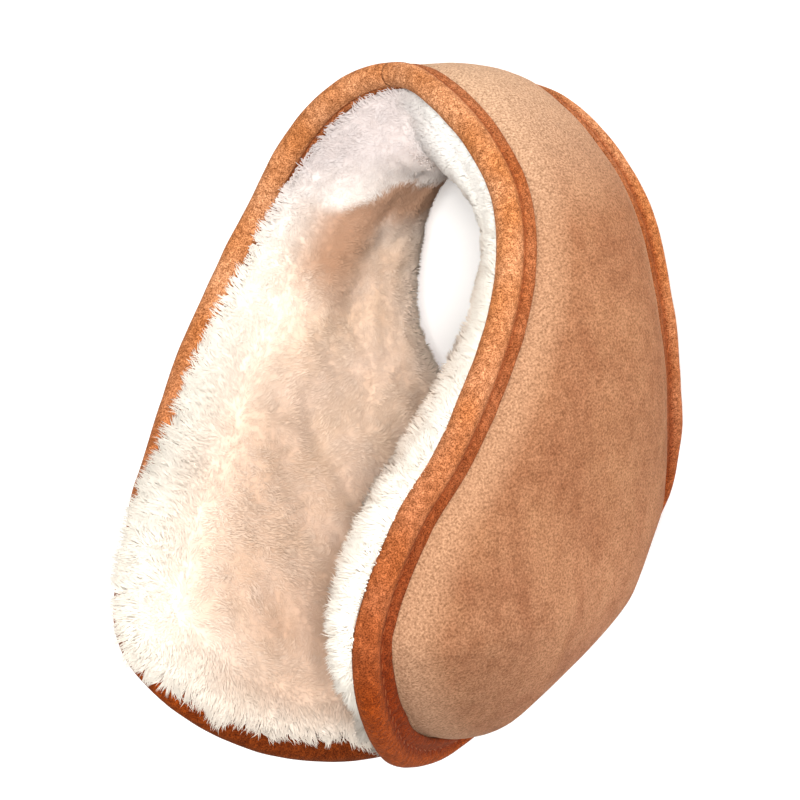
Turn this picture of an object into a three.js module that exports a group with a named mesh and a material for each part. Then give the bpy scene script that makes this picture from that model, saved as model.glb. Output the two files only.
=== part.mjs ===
// Wrap-round ear warmers: one suede band that widens into two ear pads, lined with deep wool
// pile, its whole edge bound with folded tape. The piece lies on its side on a level surface,
// z = 0, resting on the lower edge of the band's middle and of both pads.
// Millimetres. X runs from ear to ear, Y from the pad tips to the middle of the band, Z is up.

import * as THREE from 'three';

// ---------------------------------------------------------------- driving dimensions

// The band runs in a U from its middle to the tips of its two pads. Every shape is drawn on the
// flat band first, with along = distance from the band's middle, across = distance above its
// centre line and height = distance outwards from its middle layer, and is then bent round the U.
const HALF_LENGTH = 177.8; // from the band's middle to the seam at a pad's tip
const TIP_START = 0.83; // share of the half length where a pad starts to round off
const TIP_FULLNESS_UPPER = 1.57; // power of the round-off: 2 is an ellipse, less is slimmer
const TIP_FULLNESS_LOWER = 2.4;
const TIP_SWAY = 15.7; // how far the tip lies above the centre line

// One row for each place along half of the band, from its middle (0) to the pad's tip (1).
//   turn    heading of the U there, in degrees
//   upper   from the centre line to the upper seam
//   lower   from the centre line to the lower seam
//   lean    outward lean of the upper edge, in degrees
//   crown   swell of the suede above its seams
const SECTIONS = [
  { place: 0, turn: 0, upper: 14.2, lower: 13.5, lean: 2.2, crown: 2.2 },
  { place: 0.1, turn: 32.6, upper: 17.2, lower: 14.7, lean: 0.2, crown: 3.4 },
  { place: 0.2, turn: 50.6, upper: 17.4, lower: 16.9, lean: 0.7, crown: 5.4 },
  { place: 0.3, turn: 67.6, upper: 18.8, lower: 19.1, lean: 1.8, crown: 7 },
  { place: 0.42, turn: 85.7, upper: 26.2, lower: 21.3, lean: 3.9, crown: 9.4 },
  { place: 0.55, turn: 103.3, upper: 38.6, lower: 29.2, lean: 6.3, crown: 12.7 },
  { place: 0.63, turn: 110.8, upper: 47.1, lower: 36.5, lean: 7.9, crown: 14.9 },
  { place: 0.7, turn: 112.7, upper: 55.4, lower: 39.5, lean: 8.5, crown: 17.4 },
  { place: 0.85, turn: 111.1, upper: 65.3, lower: 31.5, lean: 11.7, crown: 21.8 },
  { place: 1, turn: 127.9, upper: 61.9, lower: 8, lean: 14.7, crown: 16.9 },
];

// The wool, in the same way.
//   pile      its depth at mid width
//   fringe    thickness of the wool that hangs over the binding
//   overhang  how far the longest locks of the fringe reach over it
const WOOL = [
  { place: 0, pile: 19, fringe: 3.5, overhang: 0.5 },
  { place: 0.15, pile: 18.5, fringe: 3.5, overhang: 1.5 },
  { place: 0.3, pile: 18, fringe: 4.5, overhang: 3.5 },
  { place: 0.42, pile: 18, fringe: 6, overhang: 4.5 },
  { place: 0.55, pile: 18, fringe: 7.5, overhang: 5.5 },
  { place: 0.63, pile: 17.5, fringe: 8.2, overhang: 7 },
  { place: 0.7, pile: 17, fringe: 8.5, overhang: 10 },
  { place: 0.85, pile: 15, fringe: 6.5, overhang: 10.5 },
  { place: 1, pile: 12.5, fringe: 3, overhang: 6.5 },
];

const SUEDE_WALL = 1.6;
const CLEARANCE = 0.3; // gap left between pieces that touch
const ROLL_RADIUS = 3; // of the roll that the binding's fold makes
const TAPE_WALL = 1; // folded tape, two layers thick
const TAPE_EDGE = 0.7; // its thickness where a flange ends
const OUTER_FLANGE = 6.4; // binding's reach over the suede, from the roll's centre
const INNER_FLANGE = 4.4; // the same over the wool
const FLANGE_ROUNDING = 1.2; // from a flange's end to its full height
const GROOVE_FROM_ROLL = 2.2; // stitched groove between the roll and a flange
const GROOVE_DEPTH = 0.4;
const ROLL_ARC = 105; // degrees that the roll goes round to each side of its outermost point
const ROLL_FACETS = 8;
const FOLD_FACETS = 4; // of the roll's hollow inner side
const SEAM_TO_ROLL = 6.7; // from the seam line to the roll's centre
const CROWN_ROUNDNESS = 0.62; // power of the suede's swell: 0.5 is a quarter circle
const PILE_ROUNDNESS = 0.5;
const PILE_STEP = 4; // how much deeper the wool is at the seam than in its fringe
const FRINGE_UNDER = 0.5; // gap between the fringe and the binding under it
const FRINGE_CREST = 0.5; // share of the overhang at which the fringe is thickest
const FRINGE_PARTING = 0.65; // length of the short locks beside the long ones
const PILE_SHOULDER = 14; // distance over which the wool grows to its full depth
const LOCK_RISE = 1.6; // how far the tip of a lock stands out of the pile, and its root in

const ROWS_STRAIGHT = 19; // cross-sections from the band's middle to TIP_START
const ROWS_TIP = 6; // cross-sections from there to the tip
const COLUMNS = 12; // strips across the band
const PATH_STEPS = 360; // short straight steps that the U's centre line is made of
const PATH_REACH = 1.1; // where that line ends, as a share of the half length
const BAND_ENDS = 0.35; // share of the half length where the pads begin
const PRESSED_FLAT = 0.9; // how far the binding is pressed in where it rests
const STEEPEST_TILT = 45; // degrees either way within which the resting tilt is sought
const TILT_HALVINGS = 40;

const suede = new THREE.MeshStandardMaterial({ color: 0xc98f69, roughness: 0.95, metalness: 0 });
const woolPile = new THREE.MeshStandardMaterial({ color: 0xefdcc4, roughness: 1, metalness: 0 });
const bindingTape = new THREE.MeshStandardMaterial({ color: 0xb9683a, roughness: 0.9, metalness: 0 });

const rad = THREE.MathUtils.degToRad;

// ---------------------------------------------------------------- the flat band

// Value of one column of a table at a place, on a smooth curve through its rows.
function columnAt(table, column, place) {
  const last = table.length - 1;
  const after = table.findIndex((row) => row.place > place);
  const i = after < 0 ? last - 1 : after - 1;
  const slope = (k) => {
    const before = table[Math.max(k - 1, 0)];
    const next = table[Math.min(k + 1, last)];
    return (next[column] - before[column]) / (next.place - before.place);
  };
  const a = table[i];
  const b = table[i + 1];
  const span = b.place - a.place;
  const t = (place - a.place) / span;
  const t2 = t * t;
  const t3 = t2 * t;
  return (
    (2 * t3 - 3 * t2 + 1) * a[column] +
    (t3 - 2 * t2 + t) * span * slope(i) +
    (3 * t2 - 2 * t3) * b[column] +
    (t3 - t2) * span * slope(i + 1)
  );
}

const section = (column, place) => columnAt(SECTIONS, column, place);
const wool = (column, place) => columnAt(WOOL, column, place);

// How far into the rounded tip a place lies: 0 where it starts, 1 at the very tip.
function intoTip(place) {
  return THREE.MathUtils.clamp((place - TIP_START) / (1 - TIP_START), 0, 1);
}

// The upper or lower seam's distance above the centre line.
function seamAcross(edge, place) {
  const t = intoTip(place);
  const power = edge === 'upper' ? TIP_FULLNESS_UPPER : TIP_FULLNESS_LOWER;
  const round = Math.pow(Math.max(1 - Math.pow(t, power), 0), 1 / power);
  const half = section(edge, place) * round;
  return TIP_SWAY * t * t + (edge === 'upper' ? half : -half);
}

// Places of the cross-sections along half of the band, closer together round the tip.
function rowPlaces() {
  const places = [];
  for (let i = 0; i < ROWS_STRAIGHT; i++) places.push((TIP_START * i) / ROWS_STRAIGHT);
  for (let i = 0; i <= ROWS_TIP; i++) {
    places.push(TIP_START + (1 - TIP_START) * Math.sin((i / ROWS_TIP) * (Math.PI / 2)));
  }
  return places;
}

// Points of the flat band: one list for each cross-section from the left tip to the right
// one, each from the lower seam to the upper, closer together near the seams.
function flatRows() {
  const half = rowPlaces();
  const signed = [...half.slice(1).reverse().map((place) => -place), ...half];
  return signed.map((place) => {
    const share = Math.abs(place);
    const low = seamAcross('lower', share);
    const high = seamAcross('upper', share);
    const columns = share === 1 ? 0 : COLUMNS;
    const row = [];
    for (let j = 0; j <= columns; j++) {
      const even = columns ? j / columns : 0.5;
      const crowded = (1 - Math.cos(Math.PI * even)) / 2;
      const across = THREE.MathUtils.lerp(low, high, (even + crowded) / 2);
      row.push(new THREE.Vector2(place * HALF_LENGTH, across));
    }
    return row;
  });
}

// The seam as one closed loop: left tip, upper seam, right tip, lower seam.
function seamLoop(rows) {
  const inner = rows.slice(1, -1);
  return [
    rows[0][0],
    ...inner.map((row) => row[COLUMNS]),
    rows[rows.length - 1][0],
    ...inner.map((row) => row[0]).reverse(),
  ];
}

// The loop moved outwards over the flat band by a distance.
function offsetLoop(loop, distance) {
  return loop.map((point, k) => {
    const before = loop[(k + loop.length - 1) % loop.length];
    const after = loop[(k + 1) % loop.length];
    const run = after.clone().sub(before).normalize();
    return new THREE.Vector2(point.x - run.y * distance, point.y + run.x * distance);
  });
}

// Distance of a flat point from a closed loop.
function distanceTo(loop, point) {
  let nearest = Infinity;
  loop.forEach((start, k) => {
    const side = loop[(k + 1) % loop.length].clone().sub(start);
    const offset = point.clone().sub(start);
    const t = THREE.MathUtils.clamp(offset.dot(side) / side.lengthSq(), 0, 1);
    nearest = Math.min(nearest, offset.sub(side.multiplyScalar(t)).length());
  });
  return nearest;
}

// ---------------------------------------------------------------- bending round the U

// Points of the U's centre line, from its middle to the tip's roll and a little past it.
const path = (() => {
  const points = [new THREE.Vector2(0, 0)];
  const step = (PATH_REACH * HALF_LENGTH) / PATH_STEPS;
  for (let i = 0; i < PATH_STEPS; i++) {
    const turn = heading(((i + 0.5) / PATH_STEPS) * PATH_REACH);
    const move = new THREE.Vector2(Math.cos(turn), -Math.sin(turn)).multiplyScalar(step);
    points.push(points[i].clone().add(move));
  }
  return points;
})();

function heading(place) {
  return rad(section('turn', Math.min(place, 1)));
}

// A point of the flat band, at a height out of its middle layer, bent round the U.
function bend(flat, height) {
  const place = Math.abs(flat.x) / HALF_LENGTH;
  const at = (place / PATH_REACH) * PATH_STEPS;
  const i = Math.min(Math.floor(at), PATH_STEPS - 1);
  const centre = path[i].clone().lerp(path[i + 1], at - i);
  const turn = heading(place);
  const lean = rad(section('lean', Math.min(place, 1)));
  const outwards = flat.y * Math.sin(lean) + height * Math.cos(lean);
  return new THREE.Vector3(
    Math.sign(flat.x) * (centre.x + outwards * Math.sin(turn)),
    centre.y + outwards * Math.cos(turn),
    flat.y * Math.cos(lean) - height * Math.sin(lean),
  );
}

// ---------------------------------------------------------------- lying on its side

const flatPattern = flatRows();
const seam = seamLoop(flatPattern);
const rollCentre = offsetLoop(seam, SEAM_TO_ROLL);

// At each point of the edge: the roll's centre, the direction away from the seam there, and
// the direction out of the middle layer.
const edge = rollCentre.map((flat, k) => {
  const count = rollCentre.length;
  const centre = bend(flat, 0);
  const away = centre.clone().sub(bend(seam[k], 0)).normalize();
  const before = bend(rollCentre[(k + count - 1) % count], 0);
  const along = bend(rollCentre[(k + 1) % count], 0).sub(before);
  return { centre, away, out: away.clone().cross(along).normalize() };
});

// Share of the half length at which a point of the edge lies, 1 for all of the tip's end.
function edgePlace(k) {
  return Math.min(Math.abs(rollCentre[k].x) / HALF_LENGTH, 1);
}

// How low the roll's centre line reaches over a share of the band when tilted about X.
function lowest(tilt, from, to) {
  const share = (flat) => Math.abs(flat.x) / HALF_LENGTH;
  const stretch = rollCentre.filter((flat) => share(flat) >= from && share(flat) <= to);
  const heights = stretch.map((flat) => {
    const point = bend(flat, 0);
    return point.y * Math.sin(tilt) + point.z * Math.cos(tilt);
  });
  return Math.min(...heights);
}

// The tilt about X at which the band's middle and the pads reach equally low.
function levelTilt() {
  let least = rad(-STEEPEST_TILT);
  let most = rad(STEEPEST_TILT);
  for (let i = 0; i < TILT_HALVINGS; i++) {
    const tilt = (least + most) / 2;
    if (lowest(tilt, 0, BAND_ENDS) > lowest(tilt, BAND_ENDS, PATH_REACH)) most = tilt;
    else least = tilt;
  }
  return least;
}

const REST_TILT = levelTilt();
const FLOOR = lowest(REST_TILT, 0, PATH_REACH) - ROLL_RADIUS + PRESSED_FLAT;

// The same point with the whole piece turned to lie on its side, and pressed flat where it
// would reach below a level.
function layDown(point, level) {
  const laid = point.clone().applyAxisAngle(new THREE.Vector3(1, 0, 0), REST_TILT);
  laid.z = Math.max(laid.z, level);
  return laid;
}

// ---------------------------------------------------------------- meshes

// A closed surface put together from loops and rows of points, which reaches down to a level.
class Skin {
  constructor(level) {
    this.level = level;
    this.points = [];
    this.faces = [];
  }

  point(position) {
    this.points.push(layDown(position, this.level));
    return this.points.length - 1;
  }

  // A loop beside the roll, at a distance past its centre and a height out of the middle
  // layer. Either may be a function of the point's number round the edge.
  loop(past, height) {
    const at = (value, k) => (typeof value === 'function' ? value(k) : value);
    return edge.map(({ centre, away, out }, k) => {
      const beside = centre.clone().addScaledVector(away, at(past, k));
      return this.point(beside.addScaledVector(out, at(height, k)));
    });
  }

  triangle(a, b, c) {
    if (a !== b && b !== c && c !== a) this.faces.push(a, b, c);
  }

  // Fills the strip between two closed loops of as many points.
  strip(first, second) {
    first.forEach((a, k) => {
      const next = (k + 1) % first.length;
      this.triangle(a, second[k], second[next]);
      this.triangle(a, second[next], first[next]);
    });
  }

  // Fills the strips between each of the loops and the one after it.
  strips(...loops) {
    loops.slice(1).forEach((loop, k) => this.strip(loops[k], loop));
  }

  // Covers the flat rows at the heights that heightAt gives, facing out of the U or into it,
  // and returns the points on the seam.
  cover(heightAt, facingOut) {
    const ids = flatPattern.map((row, i) =>
      row.map((flat, j) => this.point(bend(flat, heightAt(flat, i, j)))),
    );
    const id = (i, j) => ids[i][Math.min(j, ids[i].length - 1)];
    for (let i = 0; i < ids.length - 1; i++) {
      for (let j = 0; j < COLUMNS; j++) {
        const [a, b, c, d] = [id(i, j), id(i + 1, j), id(i + 1, j + 1), id(i, j + 1)];
        const corners = facingOut ? [a, d, c, b] : [a, b, c, d];
        if ((i + j) % 2) corners.push(corners.shift());
        const [first, second, third, fourth] = corners;
        this.triangle(first, second, third);
        this.triangle(first, third, fourth);
      }
    }
    return seamLoop(ids);
  }

  mesh(name, material) {
    const geometry = new THREE.BufferGeometry();
    const xyz = this.points.flatMap((p) => [p.x, p.y, p.z]);
    geometry.setAttribute('position', new THREE.Float32BufferAttribute(xyz, 3));
    geometry.setIndex(this.faces);
    geometry.computeVertexNormals();
    const mesh = new THREE.Mesh(geometry, material);
    mesh.name = name;
    return mesh;
  }
}

// ---------------------------------------------------------------- heights over the seam

const SEAT = ROLL_RADIUS - TAPE_WALL - CLEARANCE; // half thickness of what the binding grips
const LIP = -INNER_FLANGE - CLEARANCE; // where the wool comes out of the binding

// A rounded rise from 0 to 1 over a distance from the seam; power 0.5 is a quarter circle.
function rise(distance, reach, power) {
  const left = 1 - Math.min(distance / reach, 1);
  return Math.pow(1 - left * left, power);
}

function suedeHeight(flat) {
  const place = Math.abs(flat.x) / HALF_LENGTH;
  const halfWidth = (section('upper', place) + section('lower', place)) / 2;
  const swell = rise(distanceTo(seam, flat), halfWidth, CROWN_ROUNDNESS);
  return SEAT + section('crown', place) * swell;
}

// The pile's surface is drawn as pointed locks: every second point stands out, the others
// are the partings between them.
function pileHeight(flat, i, j) {
  const place = Math.abs(flat.x) / HALF_LENGTH;
  const grown = rise(distanceTo(seam, flat), PILE_SHOULDER, PILE_ROUNDNESS);
  const start = wool('fringe', place) + PILE_STEP;
  const depth = THREE.MathUtils.lerp(start, wool('pile', place), grown);
  const lock = ((i + j) % 2 ? LOCK_RISE : -LOCK_RISE) * grown;
  return -(SEAT + depth + lock);
}

// ---------------------------------------------------------------- the pieces

// The suede: one wall from pad to pad, whose edge runs into the fold of the binding.
function outerShell() {
  const skin = new Skin(FLOOR);
  const outside = skin.cover(suedeHeight, true);
  const inside = skin.cover((flat) => suedeHeight(flat) - SUEDE_WALL, false);
  const rimOutside = skin.loop(0, SEAT);
  const rimInside = skin.loop(0, SEAT - SUEDE_WALL);
  skin.strips(outside, rimOutside, rimInside, inside);
  return skin.mesh('outer_shell', suede);
}

// How far past the roll's centre the wool at a point of the edge reaches: into longer and
// shorter locks by turns.
function fringeEnd(k) {
  const lock = k % 2 ? 1 : FRINGE_PARTING;
  return LIP + wool('overhang', edgePlace(k)) * lock;
}

// The wool pile on its backing, which fills the suede and bulges into the hollow of the U.
function fleeceLining() {
  const backing = SUEDE_WALL + CLEARANCE;
  const overBinding = -ROLL_RADIUS - FRINGE_UNDER;
  const skin = new Skin(FLOOR + CLEARANCE);
  const back = skin.cover((flat) => suedeHeight(flat) - backing, true);
  const front = skin.cover(pileHeight, false);
  const rimBack = skin.loop(0, SEAT - backing);
  const rimFront = skin.loop(0, -SEAT);
  const lip = skin.loop(LIP, -SEAT);
  const lipOver = skin.loop(LIP, overBinding);
  const fringe = skin.loop(fringeEnd, overBinding);
  const crest = skin.loop(
    (k) => THREE.MathUtils.lerp(LIP, fringeEnd(k), FRINGE_CREST),
    (k) => overBinding - wool('fringe', edgePlace(k)),
  );
  skin.strips(back, rimBack, rimFront, lip, lipOver, fringe, crest, front);
  return skin.mesh('fleece_lining', woolPile);
}

// Section of the folded tape round its roll's centre, as [outwards from the seam, height]:
// a flange on the suede, a stitched groove, the roll, a groove and a flange on the wool.
function tapeSection() {
  const inner = ROLL_RADIUS - TAPE_WALL;
  const arc = (radius, from, to, steps) =>
    Array.from({ length: steps + 1 }, (_, k) => {
      const angle = rad(THREE.MathUtils.lerp(from, to, k / steps));
      return [radius * Math.cos(angle), radius * Math.sin(angle)];
    });
  return [
    [-OUTER_FLANGE, inner],
    [-OUTER_FLANGE, inner + TAPE_EDGE],
    [-OUTER_FLANGE + FLANGE_ROUNDING, ROLL_RADIUS],
    [-GROOVE_FROM_ROLL, ROLL_RADIUS - GROOVE_DEPTH],
    ...arc(ROLL_RADIUS, ROLL_ARC, -ROLL_ARC, ROLL_FACETS),
    [-GROOVE_FROM_ROLL, -ROLL_RADIUS + GROOVE_DEPTH],
    [-INNER_FLANGE, -inner - TAPE_EDGE],
    [-INNER_FLANGE, -inner],
    ...arc(inner, -90, 90, FOLD_FACETS),
  ];
}

// The binding: folded tape swept along the whole edge.
function edgeBinding() {
  const skin = new Skin(FLOOR);
  const loops = tapeSection().map(([outwards, height]) => skin.loop(outwards, height));
  skin.strips(...loops, loops[0]);
  return skin.mesh('edge_binding', bindingTape);
}

// ---------------------------------------------------------------- the ear warmers

const earWarmers = new THREE.Group();
earWarmers.add(outerShell(), fleeceLining(), edgeBinding());

// The origin lies under the middle of the piece, at the level that it rests on.
const middle = new THREE.Box3().setFromObject(earWarmers).getCenter(new THREE.Vector3());
earWarmers.position.set(-middle.x, -middle.y, -FLOOR);

export default earWarmers;
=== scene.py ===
"""Wrap-round ear warmers: a suede band with two padded ear pads, lined with deep wool pile
and bound all round with folded tape. The piece lies on its side on a pale floor.

Metres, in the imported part's own frame: X from ear to ear, Y from the pad tips to the middle
of the band, Z up. Every shape is drawn on the flat band first and is then bent round the U.
"""

import math

import bmesh
import bpy
import numpy as np
from bpy.props import FloatProperty, FloatVectorProperty, IntProperty, PointerProperty
from mathutils import Matrix, Vector, kdtree, noise


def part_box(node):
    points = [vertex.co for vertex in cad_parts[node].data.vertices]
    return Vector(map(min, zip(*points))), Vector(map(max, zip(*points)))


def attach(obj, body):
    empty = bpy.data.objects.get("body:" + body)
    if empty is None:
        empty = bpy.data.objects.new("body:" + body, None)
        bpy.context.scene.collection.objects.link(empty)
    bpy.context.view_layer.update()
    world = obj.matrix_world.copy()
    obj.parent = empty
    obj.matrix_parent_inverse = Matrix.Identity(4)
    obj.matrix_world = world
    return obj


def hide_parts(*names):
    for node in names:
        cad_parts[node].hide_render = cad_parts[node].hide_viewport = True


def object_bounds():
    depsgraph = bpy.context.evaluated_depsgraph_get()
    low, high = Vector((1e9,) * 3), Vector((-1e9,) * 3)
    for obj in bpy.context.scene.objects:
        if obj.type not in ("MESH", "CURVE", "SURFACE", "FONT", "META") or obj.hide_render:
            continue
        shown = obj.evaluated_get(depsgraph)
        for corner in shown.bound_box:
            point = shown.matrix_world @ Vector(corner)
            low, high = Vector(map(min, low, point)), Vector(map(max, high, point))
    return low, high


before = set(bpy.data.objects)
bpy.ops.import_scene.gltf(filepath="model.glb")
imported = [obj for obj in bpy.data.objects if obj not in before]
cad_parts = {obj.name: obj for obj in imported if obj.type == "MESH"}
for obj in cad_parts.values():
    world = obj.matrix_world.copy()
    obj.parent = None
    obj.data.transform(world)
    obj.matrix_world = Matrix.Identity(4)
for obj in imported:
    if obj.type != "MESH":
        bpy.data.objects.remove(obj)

CAD_BOX = [list(corner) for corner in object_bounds()]

bl_info = {
    "name": "Wrap-round ear warmers",
    "version": (1, 0, 0),
    "blender": (4, 5, 0),
    "location": "View3D > Sidebar > Ear warmers",
    "description": "Suede ear warmers with a deep wool lining and a bound edge",
    "category": "Object",
}

MM = 0.001

# ---------------------------------------------------------------- driving dimensions, in mm

HALF_LENGTH = 177.8  # from the band's middle to the seam at a pad's tip
TIP_START = 0.83  # share of the half length where a pad starts to round off
TIP_FULLNESS_UPPER = 1.57  # power of the round-off: 2 is an ellipse, less is slimmer
TIP_FULLNESS_LOWER = 2.4
TIP_SWAY = 15.7  # how far the tip lies above the centre line
REST_TILT = -14.96  # degrees about X at which the band's middle and the pads reach the floor
PRESSED_FLAT = 0.9  # how far the binding is pressed in where it rests

SUEDE_WALL = 1.6
CLEARANCE = 0.3
ROLL_RADIUS = 3.0  # of the roll that the binding's fold makes
TAPE_WALL = 1.0
TAPE_EDGE = 0.7  # the tape's thickness where a flange ends
OUTER_FLANGE = 6.4  # reach over the suede, from the roll's centre
INNER_FLANGE = 4.4  # the same over the wool
SEAM_TO_ROLL = 6.7
CROWN_ROUNDNESS = 0.62
PILE_ROUNDNESS = 0.5
PILE_STEP = 4.0  # how much deeper the wool is at the seam than in its fringe
PILE_SHOULDER = 14.0  # distance over which the wool grows to its full depth
FRINGE_UNDER = 0.5
SEAT = ROLL_RADIUS - TAPE_WALL - CLEARANCE  # half thickness of what the binding grips
LIP = -INNER_FLANGE - CLEARANCE  # where the wool comes out of the binding

PATH_STEPS = 360
PATH_REACH = 1.1  # of the half length: the binding lies past the seam
SEAM_POINTS = 4000  # of the fine outline that the even stations are measured on

# Columns that run level through the band's middle, so that it isn't creased there
EVEN_AT_MIDDLE = ("lower", "lean", "crown", "pile")

TOUCHING = 0.001  # points nearer than this are one

# Unevenness: size of its blobs in mm, seed, and octaves of noise
SUEDE_DENTS = (26, 1, 3)
SUEDE_GATHERS = (7, 2, 2)
ROLL_WAVES = (16, 3, 3)
FLANGE_PUCKERS = (9, 21, 2)
WOOL_LUMPS = (9, 5, 3)
WOOL_SWELLS = (28, 6, 2)
FRINGE_RAGS = (5, 9, 2)
SEED_STEPS = (7.3, 3.1, 5.7)  # in X, Y and Z of the noise, from one seed to the next


class Table:
    """Rows of named columns, read between the rows on a smooth curve through them."""

    def __init__(self, names, rows):
        columns = np.array(rows, float).T
        self.place = columns[0]
        self.columns = dict(zip(names[1:], columns[1:]))

    def at(self, name, place):
        y = self.columns[name]
        x = self.place
        slope = np.empty_like(y)
        slope[1:-1] = (y[2:] - y[:-2]) / (x[2:] - x[:-2])
        slope[0] = 0 if name in EVEN_AT_MIDDLE else (y[1] - y[0]) / (x[1] - x[0])
        slope[-1] = (y[-1] - y[-2]) / (x[-1] - x[-2])
        place = np.asarray(place, float)
        i = np.clip(np.searchsorted(x, place, side="right") - 1, 0, len(x) - 2)
        span = x[i + 1] - x[i]
        t = (place - x[i]) / span
        t2, t3 = t * t, t * t * t
        return (
            (2 * t3 - 3 * t2 + 1) * y[i]
            + (t3 - 2 * t2 + t) * span * slope[i]
            + (3 * t2 - 2 * t3) * y[i + 1]
            + (t3 - t2) * span * slope[i + 1]
        )


# turn: heading of the U in degrees; upper, lower: from the centre line to the seams;
# lean: outward lean of the upper edge in degrees; crown: swell of the suede.
SECTIONS = Table(
    ("place", "turn", "upper", "lower", "lean", "crown"),
    (
        (0.00, 0.0, 14.2, 13.5, 2.2, 2.7),
        (0.10, 32.6, 17.2, 14.7, 0.2, 4.9),
        (0.20, 50.6, 17.4, 16.9, 0.7, 5.7),
        (0.30, 67.6, 18.8, 19.1, 1.8, 7.0),
        (0.42, 85.7, 26.2, 21.3, 3.9, 9.4),
        (0.55, 103.3, 38.6, 29.2, 6.3, 12.7),
        (0.63, 110.8, 47.1, 36.5, 7.9, 14.9),
        (0.70, 112.7, 55.4, 39.5, 8.5, 17.4),
        (0.85, 111.1, 65.3, 31.5, 11.7, 21.8),
        (1.00, 127.9, 61.9, 8.0, 14.7, 16.9),
    ),
)

# pile: its depth at mid width; fringe: thickness of the wool that hangs over the binding;
# overhang: how far it reaches over it; lock: length of the locks of wool.
WOOL = Table(
    ("place", "pile", "fringe", "overhang", "lock"),
    (
        (0.00, 19.0, 3.5, 0.4, 2.6),
        (0.15, 18.5, 3.5, 0.8, 2.8),
        (0.22, 18.3, 3.9, 2.0, 3.2),
        (0.30, 18.0, 4.5, 2.6, 4.0),
        (0.42, 18.0, 6.0, 2.6, 4.6),
        (0.55, 18.0, 7.5, 2.8, 5.2),
        (0.63, 17.5, 8.2, 3.4, 5.8),
        (0.71, 16.8, 8.3, 6.2, 6.4),
        (0.85, 15.0, 6.5, 6.8, 6.0),
        (0.91, 14.0, 4.9, 4.2, 5.2),
        (1.00, 12.5, 3.0, 3.0, 4.6),
    ),
)

# ---------------------------------------------------------------- the flat band and its U


def smooth(value, low, high):
    """0 below low, 1 above high, and a smooth step between them."""
    t = np.clip((value - low) / (high - low), 0, 1)
    return t * t * (3 - 2 * t)


def rise(distance, reach, power):
    """A rounded rise from 0 to 1 over a distance from the seam."""
    left = 1 - np.minimum(distance / reach, 1)
    return np.power(1 - left * left, power)


def seam_across(side, place):
    """Distance of the upper or lower seam above the centre line."""
    t = np.clip((place - TIP_START) / (1 - TIP_START), 0, 1)
    power = TIP_FULLNESS_UPPER if side == "upper" else TIP_FULLNESS_LOWER
    rounded = np.power(np.maximum(1 - np.power(t, power), 0), 1 / power)
    half = SECTIONS.at(side, place) * rounded
    return TIP_SWAY * t * t + (half if side == "upper" else -half)


def heading(place):
    return np.radians(SECTIONS.at("turn", np.minimum(place, 1)))


def centre_line():
    """Points of the U's centre line, from the band's middle to a little past a tip."""
    turn = heading((np.arange(PATH_STEPS) + 0.5) / PATH_STEPS * PATH_REACH)
    step = PATH_REACH * HALF_LENGTH / PATH_STEPS
    moves = np.stack([np.cos(turn), -np.sin(turn)], 1) * step
    return np.vstack([[0, 0], np.cumsum(moves, 0)])


PATH = centre_line()
PATH_PLACES = np.linspace(0, PATH_REACH, PATH_STEPS + 1)


def bend(flat, height):
    """Points of the flat band, at a height out of its middle layer, bent round the U."""
    place = np.abs(flat[:, 0]) / HALF_LENGTH
    centre_x = np.interp(place, PATH_PLACES, PATH[:, 0])
    centre_y = np.interp(place, PATH_PLACES, PATH[:, 1])
    turn = heading(place)
    lean = np.radians(SECTIONS.at("lean", np.minimum(place, 1)))
    out = flat[:, 1] * np.sin(lean) + height * np.cos(lean)
    x = np.sign(flat[:, 0]) * (centre_x + out * np.sin(turn))
    y = centre_y + out * np.cos(turn)
    z = flat[:, 1] * np.cos(lean) - height * np.sin(lean)
    return np.stack([x, y, z], 1)


def tilted(vectors):
    """The same with the whole piece turned about X to lie on its side."""
    c, s = math.cos(math.radians(REST_TILT)), math.sin(math.radians(REST_TILT))
    x, y, z = vectors.T
    return np.stack([x, y * c - z * s, y * s + z * c], 1)


def unit(vectors):
    return vectors / np.maximum(np.linalg.norm(vectors, axis=1, keepdims=True), 1e-12)


def fine_seam():
    """The flat band's outline as one closed loop: upper seam rightwards, lower one back."""
    swing = np.linspace(-1, 1, SEAM_POINTS)
    place = np.sin(swing * math.pi / 2)
    upper = np.stack([place * HALF_LENGTH, seam_across("upper", np.abs(place))], 1)
    lower = np.stack([place * HALF_LENGTH, seam_across("lower", np.abs(place))], 1)
    return np.vstack([upper, lower[-2:0:-1]])


SEAM = fine_seam()


def even_seam(spacing):
    """Points of the seam a given distance apart."""
    closed = np.vstack([SEAM, SEAM[:1]])
    run = np.concatenate([[0], np.cumsum(np.linalg.norm(np.diff(closed, axis=0), axis=1))])
    count = int(round(run[-1] / spacing))
    at = np.arange(count) * run[-1] / count
    return np.stack([np.interp(at, run, closed[:, 0]), np.interp(at, run, closed[:, 1])], 1)


class Edge:
    """Frames along the bound edge: the roll's centre, the way out of the seam there, and
    the way out of the middle layer."""

    def __init__(self, seam):
        run = unit(np.roll(seam, -1, 0) - np.roll(seam, 1, 0))
        self.flat = seam + np.stack([-run[:, 1], run[:, 0]], 1) * SEAM_TO_ROLL
        level = np.zeros(len(seam))
        self.centre = bend(self.flat, level)
        self.away = unit(self.centre - bend(seam, level))
        along = np.roll(self.centre, -1, 0) - np.roll(self.centre, 1, 0)
        self.out = unit(np.cross(self.away, along))
        self.along = unit(along)
        self.place = np.minimum(np.abs(self.flat[:, 0]) / HALF_LENGTH, 1)

    def beside(self, past, height):
        """Points beside the roll, past its centre and out of the middle layer."""
        past = np.broadcast_to(past, len(self.centre))[:, None]
        height = np.broadcast_to(height, len(self.centre))[:, None]
        return self.centre + self.away * past + self.out * height


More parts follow.
